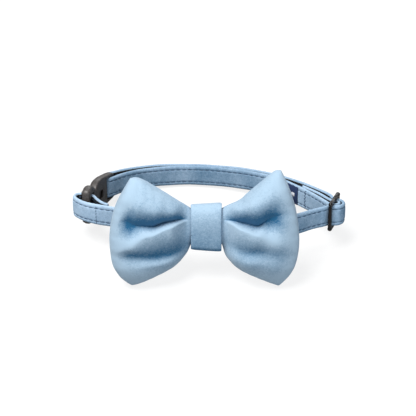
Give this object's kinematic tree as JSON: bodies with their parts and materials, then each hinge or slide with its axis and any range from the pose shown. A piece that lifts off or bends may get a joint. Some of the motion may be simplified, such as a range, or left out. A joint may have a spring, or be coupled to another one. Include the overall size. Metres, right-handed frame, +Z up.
{
  "type": "pet bow tie collar",
  "caption": "Padded velvet bow tie on a narrow velvet strap collar with a curved breakaway buckle and a metal length slider.",
  "frame": {"origin": "middle of the collar's footprint, on the surface it stands on", "axes": "+X from the buckle's side to the slider's side, +Y from the bow to the back of the loop, +Z up"},
  "size_m": [0.133, 0.0838, 0.057],
  "materials": {
    "bow_velvet": "short-pile velvet, light steel blue",
    "strap_velvet": "short-pile velvet topstitched to black webbing",
    "label_cloth": "woven navy tape",
    "slider_metal": "glossy black over metal",
    "buckle_plastic": "moulded, charcoal brown"
  },
  "bodies": {
    "root": {"bow": "bow_velvet", "bow_wrap": "bow_velvet", "strap": "strap_velvet", "label": "label_cloth", "slider": "slider_metal", "buckle_clip": "buckle_plastic", "buckle_socket": "buckle_plastic"}
  },
  "joints": []
}
